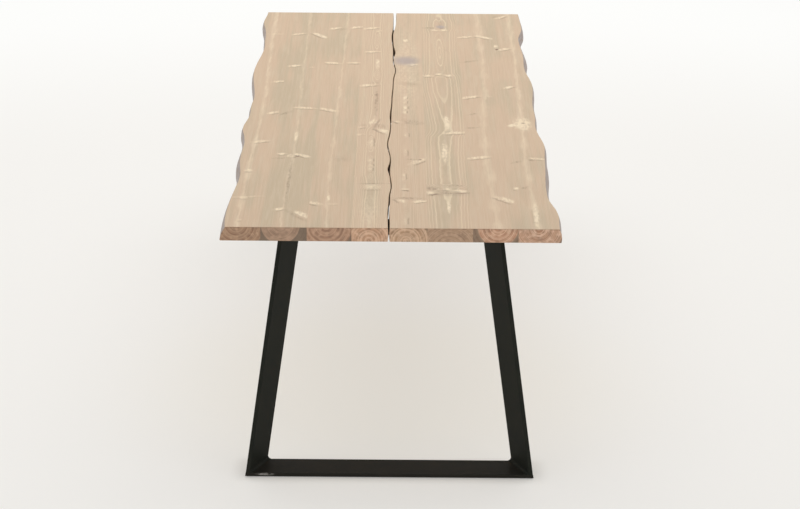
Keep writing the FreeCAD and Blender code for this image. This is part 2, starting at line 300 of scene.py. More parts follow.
BOARDS = {
    "left_edge_board": Board(
        pith=((-120, -40.4, 0.6), (-85, -40.1, 0.4), (-50, -39.8, 0.7), (5, -39.2, 0.5),
              (36, -39.6, 0.6), (80, -40.2, 0.5), (120, -40.4, 0.6)),
        spacing=0.42, lines=0.25, streak=0.55, broad=1.7, warmth=0.75,
        end_base=(161, 123, 96), end_line=(213, 177, 145), arcs=0.50, outer=6.9,
        marks=(
            ("bar", -35.6, 27, 2.2, 0.75, 28), ("bar", -35.5, -9.2, 2.3, 0.8, 39),
            ("bar", -38.2, -40.3, 2.3, 0.8, 24), ("bar", -40, -69.2, 1, 0.9, 0),
            ("faint", -39.2, -93.7, 4.6, 0.6, 8), ("eye", -39.9, -94.7, 0.9, 0.9, 0),
            ("eye", -40, -113.8, 0.6, 0.7, 0), ("faint", -39.5, 88.5, 2.6, 0.7, 2),
        ),
    ),
    "left_board_2": Board(
        pith=((-120, -28.9, 0.6), (-79, -28.8, 0.5), (-54, -28.0, 0.7), (-17, -28.1, 0.5),
              (10, -28.3, 0.6), (88, -28.6, 0.5), (120, -28.6, 0.6)),
        spacing=0.40, lines=0.28, streak=0.42, broad=1.2, warmth=0.32,
        end_base=(173, 142, 117), end_line=(205, 168, 141), arcs=0.45, outer=4.8,
        marks=(
            ("glow", -28, -34.8, 4.4, 0.32, 90), ("line", -28.4, -79, 21, 0.35, 90),
            ("bar", -32, 88.8, 2.4, 0.8, 27), ("bar", -25.4, 88.4, 2.4, 0.8, -58),
            ("bar", -23.2, 85.2, 1.9, 0.8, -52), ("bar", -31.7, 46.5, 1.9, 0.8, 22),
            ("faint", -25.8, 44.8, 0.9, 0.7, 0), ("smear", -31.7, -9.4, 3.2, 0.6, 52),
            ("bar", -26.4, -3.8, 3, 0.75, -9), ("bar", -31.3, -52.6, 1.2, 0.7, 2),
            ("bar", -28.4, -54.5, 1.8, 0.8, 58), ("bar", -25.3, -54.4, 2.4, 0.75, -37),
            ("smear", -31.6, -57, 2.4, 0.5, 9), ("bar", -30, -104.4, 1.5, 0.7, 37),
            ("smear", -25.2, -110, 5.2, 0.7, -59), ("glow", -23.9, -109, 3, 0.9, -61),
        ),
    ),
    "left_board_3": Board(
        pith=((-120, -17.0, 0.5), (-74, -17.2, 0.6), (-20, -16.8, 0.5), (36, -16.2, 0.6),
              (83, -15.8, 0.5), (120, -15.6, 0.6)),
        spacing=0.44, lines=0.28, streak=0.45, broad=1.3, warmth=0.72,
        end_base=(176, 135, 108), end_line=(218, 178, 148), arcs=0.50, outer=6.6,
        marks=(
            ("bar", -19.5, 97.3, 2, 0.8, 34), ("bar", -12.4, 98.9, 2.6, 0.8, 26),
            ("bar", -19.4, 50.5, 2.4, 0.85, -13), ("bar", -12.5, 50.8, 2, 0.8, 2),
            ("bar", -19.4, -5.8, 2.9, 0.85, -33), ("shade", -14.4, -57.5, 3, 2.4, -12),
            ("bar", -20.5, -99.1, 2.1, 0.8, -38), ("faint", -15.6, -99.5, 1.2, 0.7, 5),
            ("glow", -17, -94.2, 2.6, 0.26, 90), ("line", -16.6, 96, 2, 0.5, 60),
        ),
    ),
    "left_slit_board": Board(
        pith=((-120, -5.9, -3.55), (-100, -5.8, -3.58), (-84, -5.6, -3.66), (-69, -6.1, -3.60),
              (-50, -6.1, -3.62), (-30, -5.9, -3.50), (-8, -5.0, -3.62), (10, -4.9, -3.64),
              (45, -4.9, -3.60), (65, -5.1, -3.64), (80, -5.5, -3.52), (97, -5.5, -3.64),
              (120, -5.5, -3.56)),
        spacing=0.30, lines=1.0, streak=0, broad=0, warmth=1.10,
        end_base=(206, 160, 127), end_line=(244, 205, 172), arcs=0.60, outer=6.6,
        marks=(
            ("bar", -7.6, 97.7, 2.5, 0.8, 27), ("bar", -6.8, 65.6, 2.3, 0.8, 10),
            ("bar", -7.4, 23.4, 2.8, 0.9, 20), ("shade", -5.2, 26, 1.8, 1.4, 10),
            ("glow", -4.9, 49.8, 5.6, 0.45, 90), ("loop", -5.4, 81, 9, 0.6, 90),
            ("loop", -4.9, 36, 4.5, 0.6, 90), ("loop", -6.1, -42, 6, 0.6, 90),
            ("loop", -6.1, -57.5, 2.6, 0.5, 90), ("loop", -6.1, -66, 2.6, 0.5, 90),
            ("loop", -5.9, -74, 2.2, 0.45, 90),
            ("line", -4.9, 4, 15.5, 0.4, 90), ("bar", -9.2, -24.4, 1.2, 0.7, 29),
            ("bar", -6.1, -20.7, 5.3, 0.8, 80), ("bar", -2.5, -28.3, 2.9, 0.9, -60),
            ("faint", -4.2, 94, 1, 0.8, 0), ("line", -4.5, -80.7, 4, 0.35, 1),
            ("eye", -5.4, -83.9, 2.4, 1.5, 1), ("faint", -9.2, -32.2, 1.2, 0.7, 18),
            ("shade", -5, 12, 1.6, 0.6, 40), ("smear", -5.6, -23.4, 3.6, 2, 5),
            ("bead", -6.1, -40.5, 4.6, 0.5, 90), ("bead", -6.1, -58.3, 1.5, 0.5, 90),
            ("bead", -6, -63.2, 1.3, 0.45, 90), ("bead", -6.1, -67.1, 1.3, 0.45, 90),
            ("veil", -6, -105, 14, 2.2, 90),
        ),
    ),
    "right_slit_board": Board(
        pith=((-120, 3.9, -3.64), (-102, 3.8, -3.62), (-94, 3.7, -3.56), (-75, 3.6, -3.64),
              (-42, 3.9, -3.62), (-19, 3.8, -3.56), (1, 3.7, -3.64), (22, 3.9, -3.62),
              (53, 4.1, -3.56), (84, 4.1, -3.64), (120, 4.1, -3.60)),
        spacing=0.30, lines=0.60, streak=0, broad=0, warmth=0.95,
        end_base=(190, 151, 118), end_line=(242, 206, 173), arcs=0.65, outer=5.9,
        marks=(
            ("line", 5.7, -57.3, 1.6, 0.5, 2), ("bar", 7.3, -59.5, 3.4, 0.8, 53),
            ("hole", 7.9, -57.6, 0.5, 0.35, 0), ("eye", 3.8, -85.8, 1, 0.9, 1),
            ("smear", 4.3, -94.1, 4.6, 0.8, 1), ("bar", 2.6, -96.2, 1.7, 0.8, -68),
            ("bar", 7.5, -96.8, 2.1, 0.7, 24), ("violet", 4.2, 54, 4, 4, 2),
            ("bar", 6.2, 49.2, 1.5, 0.8, 14), ("bar", 2, -18.4, 1.4, 0.8, -55),
            ("smear", 5.5, -18.8, 3.8, 1.9, -35), ("line", 5.6, 25, 3, 1.2, -20),
            ("glow", 4.2, 81, 0.6, 1.2, 0), ("loop", 3.9, -4, 5, 0.5, 90),
            ("loop", 3.8, 9, 3.5, 0.5, 90), ("loop", 3.8, -31, 3.2, 0.45, 90),
            ("loop", 3.8, -46, 4, 0.5, 90), ("loop", 3.7, -72, 4.5, 0.5, 90),
            ("loop", 3.8, -110, 4, 0.5, 90), ("bead", 3.9, 8.6, 1.6, 0.4, 90),
            ("bead", 3.9, 3.5, 1.6, 0.4, 90), ("bead", 3.9, -2.9, 1.5, 0.5, 90),
            ("bead", 3.7, -7.8, 1.3, 0.4, 90), ("bead", 4.2, -32.5, 2, 0.4, 90),
            ("bead", 3.8, -51.1, 3, 0.4, 90), ("bead", 3.3, -74.2, 3, 0.4, 90),
            ("bead", 3.7, -85.6, 1, 0.8, 0), ("bead", 3.6, -114, 3, 0.5, 90),
            ("veil", 4.5, 45, 50, 3, 90),
        ),
    ),
    "right_board_2": Board(
        pith=((-120, 15.2, -6.10), (-106, 15.2, -6.06), (-99, 15.2, -5.96), (-91, 15.2, -5.82),
              (-86, 15.2, -5.66), (-78, 15.1, -5.74), (-63, 15.0, -5.76), (-48, 15.1, -5.72),
              (-34, 15.5, -5.64), (-25, 16.6, -5.94), (-15, 16.4, -5.80), (5, 15.9, -5.46),
              (30, 15.3, -5.14), (38, 15.2, -5.92), (46, 15.2, -6.02), (90, 15.5, -6.02),
              (95, 15.6, -5.82), (101, 15.8, -5.56), (113, 15.8, -5.92), (120, 15.8, -5.98)),
        spacing=0.50, lines=0.85, streak=0, broad=0, warmth=0.48,
        end_base=(185, 151, 122), end_line=(209, 175, 146), arcs=0.45, outer=9.0,
        marks=(
            ("glow", 16.2, -19, 7, 0.6, 91), ("glow", 15.1, -50, 9, 0.6, 90),
            ("glow", 15.4, -101.5, 4.8, 0.35, 90), ("loop", 15.3, 65, 20, 1.15, 90),
            ("smear", 15.8, 107, 5.5, 0.6, 93), ("smear", 12.1, 98.7, 2.1, 0.9, 2),
            ("violet", 16.1, 100.4, 1.5, 1.6, 2), ("hole", 16.4, 98.6, 0.45, 0.4, 0),
            ("glow", 13.9, 95.6, 1, 0.6, 10), ("glow", 17.3, 96, 0.9, 0.5, -10),
            ("bar", 11.2, 35.2, 1.4, 0.9, 2), ("bar", 14.5, 37.4, 0.9, 0.8, -25),
            ("bar", 17.7, 35.7, 1.3, 0.9, -14), ("bar", 18.4, -29.9, 3, 0.9, 13),
            ("whorl", 14.9, -85.5, 5.6, 2.6, 1), ("bar", 10.3, -88.8, 1.3, 1.1, 35),
            ("bar", 19.3, -87.4, 1.9, 0.9, -14), ("bar", 15.3, -85.2, 1.2, 1.1, -20),
            ("line", 14, -88.3, 1.4, 0.7, -45), ("line", 10.9, -84.8, 1.3, 1.1, 5),
            ("line", 18.2, -82.2, 1.6, 0.6, -4), ("line", 20.8, -88.6, 0.8, 0.7, -30),
            ("line", 17.4, -89.4, 2.6, 0.5, 8), ("faint", 17.2, -86.6, 1.6, 0.5, 12),
        ),
    ),
    "right_board_3": Board(
        pith=((-120, 28.0, 0.5), (-75, 27.3, 0.6), (-44, 26.8, 0.5), (-13, 27.2, 0.6),
              (34, 28.8, 0.5), (120, 28.8, 0.6)),
        spacing=0.42, lines=0.22, streak=0.45, broad=3.0, warmth=0.80,
        end_base=(200, 150, 120), end_line=(240, 201, 169), arcs=0.55, outer=5.1,
        marks=(
            ("bar", 24.1, 86.4, 2.6, 0.8, 17), ("bar", 30.4, 86.2, 3.4, 0.8, -40),
            ("smear", 24.7, 53.8, 2.9, 0.6, 27), ("bar", 23.9, 10, 3.2, 0.8, 29),
            ("faint", 29.8, 11, 0.9, 0.7, 0), ("smear", 24.1, -9.3, 1.9, 0.5, 40),
            ("smear", 23.6, -24.4, 2.4, 0.5, 11), ("bar", 24.5, -55.2, 3.2, 0.8, 20),
            ("bar", 30.8, -94.7, 3.7, 0.9, -49),
        ),
    ),
    "right_edge_board": Board(
        pith=((-120, 38.5, 0.2), (-92, 38.1, 0.3), (-60, 37.9, 0.2), (-20, 38.5, 0.4),
              (12, 38.8, 0.2), (48, 39.4, 0.3), (120, 39.6, 0.2)),
        spacing=0.42, lines=0.28, streak=0.50, broad=2.2, warmth=0.80,
        end_base=(188, 141, 110), end_line=(250, 213, 184), arcs=0.48, outer=6.4,
        marks=(
            ("glow", 38.4, -108, 10, 0.5, 89), ("glow", 38.7, -20, 6.5, 1.7, 92),
            ("glow", 35.6, -21.6, 1.8, 0.8, 50), ("hole", 38.9, -18.9, 0.5, 0.45, 0),
            ("hole", 34.2, 69.7, 0.45, 0.7, 0), ("glow", 34, 74, 1.6, 0.5, 90),
            ("bar", 36.2, 70, 2.4, 0.8, 37), ("smear", 35.5, 115.4, 1.7, 0.6, 29),
            ("bar", 36.8, 115, 2.5, 0.8, 54), ("bar", 36.1, 22, 1.8, 0.8, 44),
            ("smear", 35.2, -59.3, 1.8, 0.5, 38), ("line", 39.5, -57.5, 0.9, 0.5, 2),
            ("bar", 41.1, -55.7, 2.1, 0.7, -15), ("bar", 34.2, -84.4, 0.9, 0.8, -40),
            ("smear", 36.4, -83.6, 1.3, 0.5, 45),
        ),
    ),
}


def tint(red, green, blue):
    """Colour from display values of 0 to 255, as a shader wants it."""
    shares = [value / 255 for value in (red, green, blue)]
    # The usual curve of a display: straight near black, and a power above
    linear = [s / 12.92 if s < 0.04045 else ((s + 0.055) / 1.055) ** 2.4 for s in shares]
    return (*linear, 1.0)


# Colours of the wood: its ground, the pale ring lines and marks, knots, stain, ends and sides
WARM = tint(205, 175, 143)
OLIVE = tint(191, 169, 137)
RING_LINE = tint(222, 201, 167)
FIBRE = tint(176, 147, 118)
PALE = tint(236, 215, 182)
DARK = tint(128, 98, 74)
WASH = tint(214, 197, 172)
GREY = tint(168, 152, 146)
END_DARK = tint(116, 88, 70)
END_GREY = tint(108, 96, 80)
BARK_SIDE = tint(166, 154, 148)
BARK_BROWN = tint(156, 130, 110)
# The slit's walls: brown wood, darkened with painted shade
SLIT_SHADED_BROWN = tint(112, 84, 66)

# Colours of the other finishes, two where a noise mixes them. The near foot bar, the one with the
# scrape, is painted a bit lighter as painted light.
COAT_COLOURS = (tint(39, 41, 37), tint(46, 47, 42))
LIT_FOOT_COAT_COLOURS = (tint(46, 45, 41), tint(52, 50, 45))
BARE_STEEL = tint(186, 182, 176)
ZINC_COLOURS = (tint(160, 161, 162), tint(186, 187, 184))
RUBBER_COLOURS = (tint(40, 40, 40), tint(66, 64, 62))
# Floor colours with painted light: warm bounce light under the table, painted shade round it,
# white far off
FLOOR_BOUNCE_TINT = tint(245, 242, 235)
FLOOR_SHADED = tint(245, 243, 239)
FLOOR_WHITE = tint(255, 255, 253)


class Tree:
    """Short names for building a node tree."""

    def __init__(self, tree):
        self.tree = tree

    def node(self, kind, inputs=(), **settings):
        """New node with its settings, and its inputs linked or set."""
        made = self.tree.nodes.new(kind)
        for name, value in settings.items():
            setattr(made, name, value)
        for key, value in dict(inputs).items():
            if isinstance(value, bpy.types.NodeSocket):
                self.link(value, made.inputs[key])
            else:
                made.inputs[key].default_value = value
        return made

    def link(self, output, socket):
        """Link from an output to an input."""
        self.tree.links.new(output, socket)

    def sum(self, operation, first, second=0.0, third=0.0):
        """Result of a sum on numbers."""
        inputs = {0: first, 1: second, 2: third}
        return self.node("ShaderNodeMath", inputs, operation=operation).outputs[0]

    def vector(self, operation, first, second=(0.0, 0.0, 0.0)):
        """Result of a sum on vectors."""
        inputs = {0: first, 1: second}
        return self.node("ShaderNodeVectorMath", inputs, operation=operation).outputs[0]

    def length(self, vector):
        """Length of a vector."""
        return self.node("ShaderNodeVectorMath", {0: vector}, operation="LENGTH").outputs[1]

    def split(self, vector):
        """The three numbers of a vector."""
        return self.node("ShaderNodeSeparateXYZ", {0: vector}).outputs

    def join(self, x, y, z):
        """Vector of three numbers."""
        return self.node("ShaderNodeCombineXYZ", {0: x, 1: y, 2: z}).outputs[0]

    def ease(self, value, low, high, to_low=0.0, to_high=1.0):
        """Smooth step of a value from one range to another."""
        inputs = {0: value, 1: low, 2: high, 3: to_low, 4: to_high}
        made = self.node("ShaderNodeMapRange", inputs, interpolation_type="SMOOTHSTEP")
        return made.outputs[0]

    def fade(self, value, low, high):
        """Smooth step from 1 down to 0 as a value grows."""
        return self.ease(value, low, high, 1.0, 0.0)

    def mix(self, share, first, second):
        """Blend of two colours."""
        inputs = {0: share, 6: first, 7: second}
        return self.node("ShaderNodeMix", inputs, data_type="RGBA").outputs[2]

    def noise(self, name, vector):
        """One of the named noises over a vector: its value and its colour."""
        scale, detail, roughness = NOISES[name]
        stretched = self.vector("MULTIPLY", vector, scale)
        inputs = {"Vector": stretched, "Scale": 1.0, "Detail": detail, "Roughness": roughness}
        return self.node("ShaderNodeTexNoise", inputs).outputs

    def curve(self, share, points):
        """Smooth curve through points, whose places run from 0 to 1."""
        values = [value for _, value in points]
        low = min(values)
        reach = max(max(values) - low, LEAST_RISE)
        made = self.node("ShaderNodeFloatCurve", {"Value": share})
        line = made.mapping.curves[0].points
        line[0].location = (points[0][0], (points[0][1] - low) / reach)
        line[1].location = (points[-1][0], (points[-1][1] - low) / reach)
        for place, value in points[1:-1]:
            line.new(place, (value - low) / reach)
        made.mapping.update()
        return self.sum("MULTIPLY_ADD", made.outputs[0], reach, low)


def new_material(name):
    """Empty material: its tree, its shader node and itself."""
    material = bpy.data.materials.new(name)
    material.use_nodes = True
    shader = material.node_tree.nodes["Principled BSDF"]
    return Tree(material.node_tree), shader, material


def finish_shader(tree, shader, colour, roughness, height, depth):
    """Links colour, roughness and relief to the shader."""
    bump = tree.node("ShaderNodeBump", {"Height": height, "Distance": depth, "Strength": 1.0})
    tree.link(colour, shader.inputs["Base Color"])
    tree.link(roughness, shader.inputs["Roughness"])
    tree.link(bump.outputs[0], shader.inputs["Normal"])


def make_mark_group():
    """Node group that adds one long or round mark to a board's figure.

    What it adds up is a vector: the fill, the rim and the push on the rings.
    """
    group = bpy.data.node_groups.new("wood_mark", "ShaderNodeTree")
    for name in ("Place", "Middle", "Turn", "Reach", "Strength", "Before"):
        kind = "NodeSocketFloat" if name == "Turn" else "NodeSocketVector"
        group.interface.new_socket(name, in_out="INPUT", socket_type=kind)
    group.interface.new_socket("After", in_out="OUTPUT", socket_type="NodeSocketVector")
    tree = Tree(group)
    given = tree.node("NodeGroupInput").outputs
    # The marks before shift the place by next to nothing, so that a renderer works the marks out
    # one after another and needs little memory for them
    nudge = tree.vector("MULTIPLY", given["Before"], NUDGE)
    offset = tree.vector("SUBTRACT", tree.vector("ADD", given["Place"], nudge), given["Middle"])
    back = tree.sum("MULTIPLY", given["Turn"], -1.0)
    inputs = {"Vector": offset, "Angle": back}
    turned = tree.node("ShaderNodeVectorRotate", inputs, rotation_type="Z_AXIS").outputs[0]
    scaled = tree.vector("DIVIDE", turned, given["Reach"])
    along, across, _ = tree.split(scaled)
    narrowed = tree.vector("MULTIPLY", scaled, (1.0, FILL_ACROSS, 1.0))
    fill = tree.fade(tree.length(narrowed), *FILL_FADE)
    from_rim = tree.sum("ABSOLUTE", tree.sum("ADD", across, RIM_BELOW))
    within = tree.fade(tree.sum("ABSOLUTE", along), *RIM_FADE)
    rim = tree.sum("MULTIPLY", tree.fade(from_rim, 0.0, RIM_WIDTH), within)
    push = tree.fade(tree.length(scaled), *PUSH_FADE)
    strong = tree.vector("MULTIPLY", tree.join(fill, rim, push), given["Strength"])
    after = tree.vector("ADD", given["Before"], strong)
    tree.node("NodeGroupOutput", {"After": after})
    return group


def add_marks(tree, group, place, marks, stain=False):
    """Chain of marks: the vector of their fill, rim and push, or of their stain alone."""
    so_far = (0.0, 0.0, 0.0)
    for name, x, y, half_length, half_width, turn in marks:
        kind = MARK_KINDS[name]
        inputs = {
            "Place": place,
            "Middle": (x * CENTIMETRE, y * CENTIMETRE, 0.0),
            "Turn": math.radians(turn),
            "Reach": (half_length * CENTIMETRE, half_width * CENTIMETRE, BOUNDLESS),
            "Strength": (kind.grey, 0.0, 0.0) if stain else (kind.fill, kind.rim, kind.push),
            "Before": so_far,
        }
        so_far = tree.node("ShaderNodeGroup", inputs, node_tree=group).outputs["After"]
    return so_far


def board_marks(tree, place, board, group, on_top):
    """A board's marks, on its top only: the vector of fill, rim and push, and the stain if any."""
    sway = tree.vector("SUBTRACT", tree.noise("mark_sway", place)[1], (NOISE_MIDDLE,) * 3)
    swayed = tree.vector("ADD", place, tree.vector("MULTIPLY", sway, MARK_SWAY))
    figure = add_marks(tree, group, swayed, board.marks)
    figure = tree.vector("MULTIPLY", figure, tree.join(on_top, on_top, on_top))
    stained = [mark for mark in board.marks if MARK_KINDS[mark[0]].grey]
    if not stained:
        return figure, None
    stain = tree.split(add_marks(tree, group, swayed, stained, stain=True))[0]
    return figure, tree.sum("MULTIPLY", stain, on_top)


def round_pith(tree, place, board, seed):
    """How far each point lies to the side of the pith, and how far from it in all."""
    x, y, z = tree.split(place)
    length = board_high.y - board_low.y
    across = []
    above = []
    # By share of the length; Y is 0 halfway
    for at, sideways, rise in board.pith:
        share = 0.5 + at * CENTIMETRE / length
        across.append((share, sideways * CENTIMETRE))
        above.append((share, rise * CENTIMETRE))
    along = tree.sum("MULTIPLY_ADD", y, 1 / length, 0.5)
    course = tree.noise("pith_course", tree.join(0.0, y, float(seed)))[1]
    sway, bob, _ = tree.split(tree.vector("SUBTRACT", course, (NOISE_MIDDLE,) * 3))
    side = tree.sum("SUBTRACT", x, tree.curve(along, across))
    side = tree.sum("MULTIPLY_ADD", sway, PITH_SWAY, side)
    height = tree.sum("SUBTRACT", tree.sum("SUBTRACT", z, board_high.z), tree.curve(along, above))
    height = tree.sum("MULTIPLY_ADD", bob, PITH_BOB, height)
    return side, tree.length(tree.join(side, 0.0, height))


def ring_lines(tree, place, radius, spacing, push, seed):
    """How far the wood swings from pale to dark across its rings, and each ring's own line."""
    slow = tree.sum("SUBTRACT", tree.noise("slow_rings", place)[0], NOISE_MIDDLE)
    fine = tree.sum("SUBTRACT", tree.noise("fine_rings", place)[0], NOISE_MIDDLE)
    radius = tree.sum("MULTIPLY_ADD", slow, SLOW_RING_SWAY, radius)
    radius = tree.sum("MULTIPLY_ADD", fine, FINE_RING_SWAY, radius)
    rings = tree.sum("ADD", tree.sum("DIVIDE", radius, spacing * CENTIMETRE), push)
    share = tree.sum("FRACT", rings)
    late = tree.sum("MULTIPLY", tree.ease(share, *LINE_COMES), tree.fade(share, *LINE_GOES))
    inputs = {"W": tree.sum("ADD", tree.sum("FLOOR", rings), seed * RING_SEED_STEP)}
    luck = tree.node("ShaderNodeTexWhiteNoise", inputs, noise_dimensions="1D").outputs[0]
    strength = tree.sum("MULTIPLY_ADD", luck, 1 - WEAKEST_LINE, WEAKEST_LINE)
    swing = tree.noise("ring_swing", tree.join(radius, float(seed), 0.0))[0]
    return tree.ease(swing, *SWING_RANGE), tree.sum("MULTIPLY", late, strength)


def plain_wood(tree, place, warmth, fibres, wash):
    """Colour of the wood without its rings: olive to warm, with whitewash and fibres."""
    streaks = tree.noise("streaks", place)[0]
    patches = tree.noise("patches", place)[0]
    grain = tree.noise("grain", place)[0]
    tone = tree.sum("MULTIPLY_ADD", streaks, STREAKS_TO_TONE, warmth - TONE_MIDDLE)
    tone = tree.sum("MULTIPLY_ADD", patches, PATCHES_TO_TONE, tone)
    colour = tree.mix(tree.ease(tone, *TONE_RANGE), OLIVE, WARM)
    colour = tree.mix(tree.ease(wash, *WASH_RANGE, 0.0, WASH_SHARE), colour, WASH)
    colour = tree.mix(tree.ease(fibres, *FIBRE_RANGE, 0.0, FIBRE_SHARE), colour, FIBRE)
    colour = tree.mix(tree.ease(grain, *DARK_GRAIN_RANGE, DARK_GRAIN_SHARE, 0.0), colour, FIBRE)
    return tree.mix(tree.ease(grain, *PALE_GRAIN_RANGE, 0.0, PALE_GRAIN_SHARE), colour, WASH)


def pith_streak(tree, place, side, board):
    """How strong the pale streak over the pith is, of changing width, course and light."""
    _, y, _ = tree.split(place)
    light = tree.noise("streak_light", tree.join(0.0, y, side))[0]
    swell = tree.noise("streak_width", tree.join(board.warmth, y, 0.0))[0]
    course = tree.noise("streak_course", tree.join(0.0, y, board.warmth))[0]
    stray = tree.sum("SUBTRACT", course, NOISE_MIDDLE)
    strayed = tree.sum("MULTIPLY_ADD", stray, STREAK_SWAY, side)
    broad = board.broad * CENTIMETRE
    width = tree.ease(swell, *STREAK_WIDTH_RANGE, STREAK_LEAST_SHARE * broad, broad)
    weakest = STREAK_LEAST_SHARE * board.streak
    bright = tree.ease(light, *STREAK_LIGHT_RANGE, weakest, board.streak)
    return tree.sum("MULTIPLY", tree.fade(tree.sum("ABSOLUTE", strayed), 0.0, width), bright)


def face_colour(tree, place, board, side, line, figure, stain):
    """Colour of the long faces: tone, ring lines, the pale streak over the pith, and marks.

    The noises of the fibres and of the whitewash come with it.
    """
    fibres = tree.noise("fibres", place)[0]
    wash = tree.noise("wash", place)[0]
    colour = plain_wood(tree, place, board.warmth, fibres, wash)
    colour = tree.mix(tree.sum("MULTIPLY", line, board.lines), colour, RING_LINE)
    if board.streak:
        colour = tree.mix(pith_streak(tree, place, side, board), colour, PALE)

    fill, rim, _ = tree.split(figure)
    breaks = tree.noise("mark_breaks", place)[0]
    fill = tree.sum("MULTIPLY", fill, tree.ease(breaks, *BREAK_RANGE, *BREAK_SHARES))
    colour = tree.mix(tree.ease(fill, 0.0, FULL_FILL), colour, PALE)
    dark = tree.sum("MAXIMUM", rim, tree.sum("MULTIPLY", fill, -1.0))
    colour = tree.mix(tree.ease(dark, 0.0, FULL_DARK), colour, DARK)
    if stain:
        colour = tree.mix(tree.ease(stain, 0.0, FULL_STAIN), colour, GREY)
    return colour, fibres, wash


def end_colour(tree, place, board, radius, swing, line):
    """Colour of the end grain: arcs on a blotchy ground, grey where the log's outside was, and a
    ragged painted shade under the arris.
    """
    _, _, z = tree.split(place)
    base = tint(*board.end_base)
    pale = tint(*board.end_line)
    blotch = tree.noise("end_blotch", place)[0]
    colour = tree.mix(tree.ease(blotch, *BLOTCH_RANGE, 0.0, BLOTCH_SHARE), base, END_DARK)
    gleam = tree.noise("end_gleam", tree.vector("ADD", place, GLEAM_SHIFT))[0]
    colour = tree.mix(tree.ease(gleam, *GLEAM_RANGE, 0.0, GLEAM_SHARE), colour, pale)
    colour = tree.mix(tree.ease(swing, 0.0, 1.0, 0.0, board.arcs), colour, pale)
    colour = tree.mix(tree.sum("MULTIPLY", line, END_RING_SHARE), colour, END_DARK)
    outside = board.outer * CENTIMETRE
    grey = tree.ease(radius, outside, outside + OUTSIDE_FADE, 0.0, OUTSIDE_SHARE)
    colour = tree.mix(grey, colour, END_GREY)
    # Painted shade: a ragged dark line just under the top arris of the end
    rags = tree.sum("SUBTRACT", tree.noise("end_rags", place)[0], NOISE_MIDDLE)
    rough_z = tree.sum("MULTIPLY_ADD", rags, ARRIS_RAGS, z)
    arris = tree.ease(rough_z, board_high.z - ARRIS_SHADE_DEPTH, board_high.z, 0.0, ARRIS_SHADE_SHARE)
    return tree.mix(arris, colour, END_DARK)


def side_colour(tree, place, name):
    """Colour of the sides: grey bark, or the walls of the slit, brown darkened with painted shade
    and painted lighter near the top.
    """
    bark = tree.noise("bark", place)[0]
    if name not in SLIT_SIDES:
        return tree.mix(tree.ease(bark, *BARK_RANGE), BARK_SIDE, BARK_BROWN)
    # Painted shade down the slit's walls, and painted light near their top in the top's olive
    _, _, z = tree.split(place)
    deep, shallow = SLIT_LIT_DEPTHS
    lit_near_top = tree.ease(z, board_high.z - deep, board_high.z - shallow)
    brown = tree.ease(bark, *SLIT_BARK_RANGE, 0.0, SLIT_BARK_SHARE)
    return tree.mix(lit_near_top, tree.mix(brown, SLIT_SHADED_BROWN, BARK_BROWN), OLIVE)


def wood(name, seed, mark_group):
    """Whitewashed pine of one board, cut from its own log."""
    board = BOARDS[name]
    tree, shader, material = new_material("pine_" + name)
    coordinates = tree.node("ShaderNodeTexCoord").outputs
    place = coordinates["Object"]
    facing_x, facing_y, facing_z = tree.split(coordinates["Normal"])
    on_top = tree.ease(facing_z, *TOP_FACING)
    at_end = tree.ease(tree.sum("ABSOLUTE", facing_y), *END_FACING)
    at_side = tree.ease(tree.sum("ABSOLUTE", facing_x), *SIDE_FACING)

    figure, stain = board_marks(tree, place, board, mark_group, on_top)
    side, radius = round_pith(tree, place, board, seed)
    push = tree.split(figure)[2]
    swing, line = ring_lines(tree, place, radius, board.spacing, push, seed)
    colour, fibres, wash = face_colour(tree, place, board, side, line, figure, stain)
    colour = tree.mix(at_end, colour, end_colour(tree, place, board, radius, swing, line))
    colour = tree.mix(at_side, colour, side_colour(tree, place, name))
    roughness = tree.ease(wash, *WOOD_GLOSS_RANGE, *WOOD_ROUGHNESS)
    relief = tree.sum("MULTIPLY", fibres, FIBRE_RELIEF_SHARE)
    relief = tree.sum("ADD", relief, tree.sum("MULTIPLY", line, LINE_RELIEF_SHARE))
    finish_shader(tree, shader, colour, roughness, relief, WOOD_RELIEF)
    shader.inputs["Specular IOR Level"].default_value = WOOD_SPECULAR
    return material


def cubic(at, known_at, known):
    """Smooth curve through known points: cubic pieces, with slopes from both neighbours."""
    slopes = np.gradient(known, known_at)
    piece = np.clip(np.searchsorted(known_at, at) - 1, 0, len(known_at) - 2)
    step = known_at[piece + 1] - known_at[piece]
    t = np.clip((at - known_at[piece]) / step, 0, 1)
    start = (1 + 2 * t) * (1 - t) ** 2 * known[piece] + t * (1 - t) ** 2 * step * slopes[piece]
    end = t ** 2 * (3 - 2 * t) * known[piece + 1] + t ** 2 * (t - 1) * step * slopes[piece + 1]
    return start + end


def packed_edge(name, side, level, stations):
    """Where a board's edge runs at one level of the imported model, for each station."""
    low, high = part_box(name)
    points = np.array([vertex.co for vertex in nodes[name].data.vertices])
    on_side = side * (points[:, 0] - (low.x + high.x) / 2) > 0
    at_level = np.abs(points[:, 2] - level) < LEVEL_TOLERANCE
    found = points[on_side & at_level]
    found = found[np.argsort(found[:, 1])]
    apart = np.diff(found[:, 1], prepend=-np.inf) > LEAST_STEP
    found = found[apart]
    if len(found) < FEWEST_WAVY_POINTS:
        return np.full(len(stations), high.x if side > 0 else low.x)
    edge = cubic(stations, found[:, 1], found[:, 0])
    return np.clip(edge, found[:, 0].min(), found[:, 0].max())


